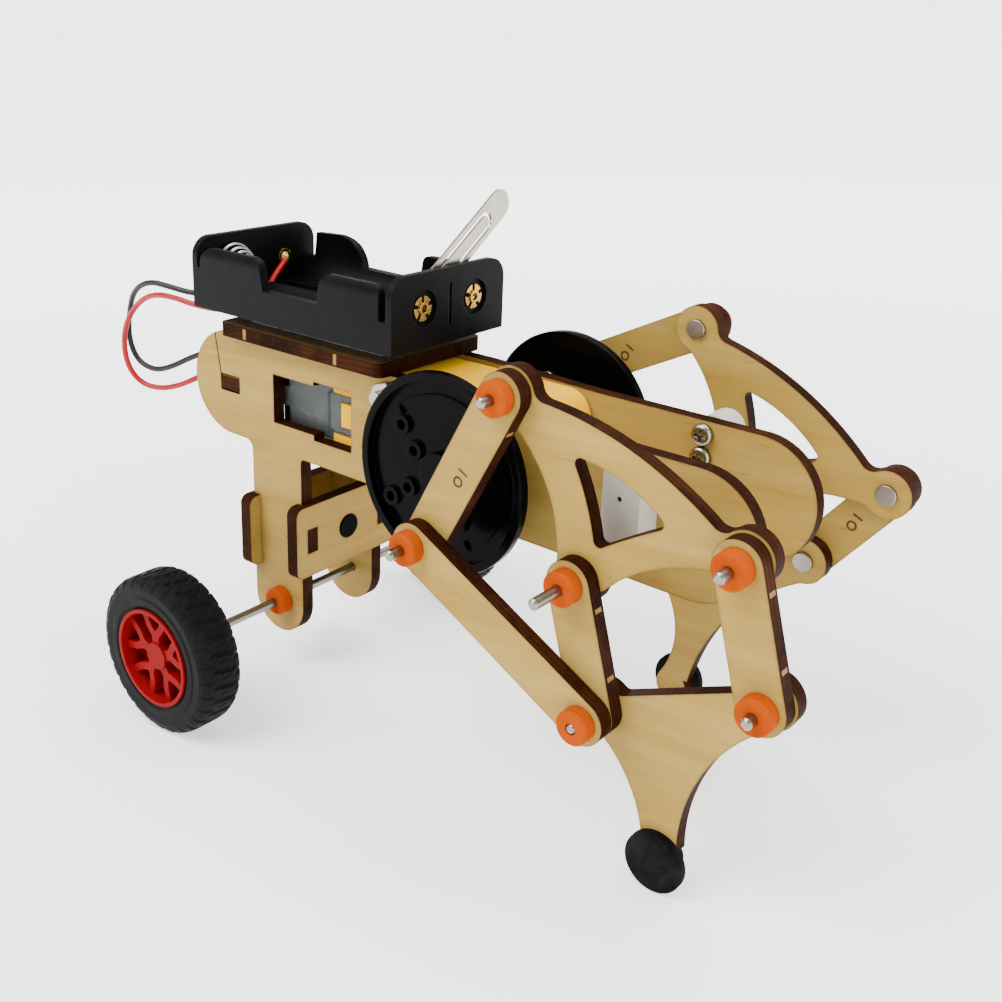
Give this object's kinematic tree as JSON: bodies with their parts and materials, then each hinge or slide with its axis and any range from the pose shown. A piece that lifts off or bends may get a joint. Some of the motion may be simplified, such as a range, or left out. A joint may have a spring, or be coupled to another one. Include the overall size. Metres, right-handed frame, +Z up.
{
  "type": "walking robot dog kit",
  "caption": "Small laser-cut plywood walking dog with two motor-driven linkage legs in front, two red wheels behind and a battery holder on its back.",
  "frame": {"origin": "bottom centre of the footprint, on the standing surface", "axes": "+X forward, +Y to the dog's left, +Z up"},
  "size_m": [0.1822, 0.097, 0.1081],
  "materials": {
    "ply": "laser-cut birch plywood, pale faces with dark brown cut edges",
    "holder": "black moulded plastic",
    "terminal": "bright brass",
    "spring_wire": "bright plated wire",
    "lever": "bright plated strip",
    "gearbox": "yellow moulded plastic",
    "can": "zinc plated steel",
    "cap": "black plastic",
    "strap": "clear plastic",
    "steel": "plain round nails and rod",
    "nickel": "nickel plated screws and nuts",
    "disc": "black glossy plastic",
    "nylon": "white translucent nylon",
    "bush": "orange nylon",
    "red": "red plastic",
    "tread": "black rubber",
    "pad": "black foam",
    "foam": "grey double-sided foam tape",
    "wire_red": "red insulation",
    "wire_black": "black insulation",
    "gearwhite": "white gear plastic"
  },
  "bodies": {
    "chassis": {"battery_holder": "holder", "battery_spring": "spring_wire", "battery_terminals": "terminal", "cross_plate_front": "ply", "cross_plate_rear": "ply", "deck_plate": "ply", "foam_tape": "foam", "gear_pins": "steel", "gearbox_shell_left": "gearbox", "gearbox_shell_right": "gearbox", "motor_can": "can", "motor_end_cap": "cap", "motor_screws_nuts": "nickel", "motor_strap": "strap", "motor_terminals": "terminal", "pivot_block_screws": "nickel", "pivot_blocks": "nylon", "pivot_bushes": "bush", "pivot_pins": "steel", "plate_plugs": "cap", "side_frame_left": "ply", "side_frame_right": "ply", "tail_plate": "ply", "wire_black": "wire_black", "wire_red": "wire_red"},
    "crank": {"output_shaft": "gearwhite", "crank_discs": "disc", "crank_pins": "steel", "crank_bushes": "bush"},
    "rear_wheels": {"rear_axle": "steel", "wheel_rims": "red", "tyre_right": "tread", "tyre_left": "tread", "axle_bushes": "bush"},
    "switch": {"switch_lever": "lever"},
    "compound": {"compound_gear": "gearwhite"},
    "crown": {"crown_gear": "gearwhite"},
    "rotor": {"motor_rotor": "steel"},
    "rocker_body_right": {"rocker_right": "ply", "rocker_pins_right": "steel", "rocker_bushes_right": "bush"},
    "rear_link_body_right": {"rear_link_right": "ply"},
    "front_link_body_right": {"front_link_right": "ply"},
    "upper_link_body_right": {"upper_link_right": "ply"},
    "lower_link_body_right": {"lower_link_right": "ply"},
    "foot_body_right": {"foot_right": "ply", "foot_pad_right": "pad", "foot_pins_right": "steel", "foot_bushes_right": "bush"},
    "rocker_body_left": {"rocker_left": "ply", "rocker_pins_left": "steel", "rocker_bushes_left": "bush"},
    "rear_link_body_left": {"rear_link_left": "ply"},
    "front_link_body_left": {"front_link_left": "ply"},
    "upper_link_body_left": {"upper_link_left": "ply"},
    "lower_link_body_left": {"lower_link_left": "ply"},
    "foot_body_left": {"foot_left": "ply", "foot_pad_left": "pad", "foot_pins_left": "steel", "foot_bushes_left": "bush"}
  },
  "joints": [
    {"name": "crank_spin", "type": "hinge", "parent": "chassis", "child": "crank", "pos_m": [0.00231, 0, 0.06064], "axis": [0, -1, 0], "range_deg": [-25, 25]},
    {"name": "rocker_swing_right", "type": "hinge", "parent": "chassis", "child": "rocker_body_right", "pos_m": [0.03781, 0, 0.052], "axis": [0, -1, 0], "range_deg": [-7.7, 7.7]},
    {"name": "rear_link_swing_right", "type": "hinge", "parent": "chassis", "child": "rear_link_body_right", "pos_m": [0.03781, 0, 0.052], "axis": [0, -1, 0], "range_deg": [-7.8, 7.8]},
    {"name": "front_link_swing_right", "type": "hinge", "parent": "rocker_body_right", "child": "front_link_body_right", "pos_m": [0.06769, 0, 0.06315], "axis": [0, -1, 0], "range_deg": [-15.3, 15.3]},
    {"name": "foot_swing_right", "type": "hinge", "parent": "rear_link_body_right", "child": "foot_body_right", "pos_m": [0.0428, 0, 0.03011], "axis": [0, -1, 0], "range_deg": [-15.3, 15.3]},
    {"name": "upper_link_swing_right", "type": "hinge", "parent": "rocker_body_right", "child": "upper_link_body_right", "pos_m": [0.02418, 0, 0.08139], "axis": [0, -1, 0], "range_deg": [-7.3, 7.3]},
    {"name": "lower_link_swing_right", "type": "hinge", "parent": "rear_link_body_right", "child": "lower_link_body_right", "pos_m": [0.0428, 0, 0.03011], "axis": [0, -1, 0], "range_deg": [-9.8, 9.8]},
    {"name": "rocker_swing_left", "type": "hinge", "parent": "chassis", "child": "rocker_body_left", "pos_m": [0.03781, 0, 0.052], "axis": [0, -1, 0], "range_deg": [-7.6, 7.6]},
    {"name": "rear_link_swing_left", "type": "hinge", "parent": "chassis", "child": "rear_link_body_left", "pos_m": [0.03781, 0, 0.052], "axis": [0, -1, 0], "range_deg": [-2, 2]},
    {"name": "front_link_swing_left", "type": "hinge", "parent": "rocker_body_left", "child": "front_link_body_left", "pos_m": [0.06914, 0, 0.05798], "axis": [0, -1, 0], "range_deg": [-9.5, 9.5]},
    {"name": "foot_swing_left", "type": "hinge", "parent": "rear_link_body_left", "child": "foot_body_left", "pos_m": [0.02291, 0, 0.0352], "axis": [0, -1, 0], "range_deg": [-9.5, 9.5]},
    {"name": "upper_link_swing_left", "type": "hinge", "parent": "rocker_body_left", "child": "upper_link_body_left", "pos_m": [0.0293, 0, 0.08326], "axis": [0, -1, 0], "range_deg": [-6.2, 6.2]},
    {"name": "lower_link_swing_left", "type": "hinge", "parent": "rear_link_body_left", "child": "lower_link_body_left", "pos_m": [0.02291, 0, 0.0352], "axis": [0, -1, 0], "range_deg": [-7.3, 7.3]},
    {"name": "compound_gear_spin", "type": "hinge", "parent": "chassis", "child": "compound", "pos_m": [-0.00977, 0, 0.06128], "axis": [0, -1, 0], "range_deg": [-97.4, 97.4]},
    {"name": "crown_gear_spin", "type": "hinge", "parent": "chassis", "child": "crown", "pos_m": [-0.0211, 0, 0.06188], "axis": [0, -1, 0], "range_deg": [-345.8, 345.8]},
    {"name": "rotor_spin", "type": "hinge", "parent": "chassis", "child": "rotor", "pos_m": [0.00231, 0, 0.06064], "axis": [0.9986, 0, -0.053], "range_deg": [-1123.6, 1123.6]},
    {"name": "axle_roll", "type": "hinge", "parent": "chassis", "child": "rear_wheels", "pos_m": [-0.05268, 0, 0.01699], "axis": [0, 1, 0], "continuous": true},
    {"name": "switch_swing", "type": "hinge", "parent": "chassis", "child": "switch", "pos_m": [-0.01448, -0.0077, 0.08767], "axis": [0.9986, 0, -0.053], "range_deg": [-30, 20]}
  ],
  "couplings": [
    {"joint": "rocker_swing_right", "follows": "crank_spin", "ratio": -0.302},
    {"joint": "rear_link_swing_right", "follows": "crank_spin", "ratio": 0.306},
    {"joint": "front_link_swing_right", "follows": "crank_spin", "ratio": 0.608},
    {"joint": "foot_swing_right", "follows": "crank_spin", "ratio": -0.608},
    {"joint": "upper_link_swing_right", "follows": "crank_spin", "ratio": 0.288},
    {"joint": "lower_link_swing_right", "follows": "crank_spin", "ratio": -0.386},
    {"joint": "rocker_swing_left", "follows": "crank_spin", "ratio": 0.298},
    {"joint": "rear_link_swing_left", "follows": "crank_spin", "ratio": -0.075},
    {"joint": "front_link_swing_left", "follows": "crank_spin", "ratio": -0.373},
    {"joint": "foot_swing_left", "follows": "crank_spin", "ratio": 0.373},
    {"joint": "upper_link_swing_left", "follows": "crank_spin", "ratio": -0.243},
    {"joint": "lower_link_swing_left", "follows": "crank_spin", "ratio": 0.288},
    {"joint": "compound_gear_spin", "follows": "crank_spin", "ratio": -3.8889},
    {"joint": "crown_gear_spin", "follows": "crank_spin", "ratio": 13.827},
    {"joint": "rotor_spin", "follows": "crank_spin", "ratio": -44.938}
  ]
}
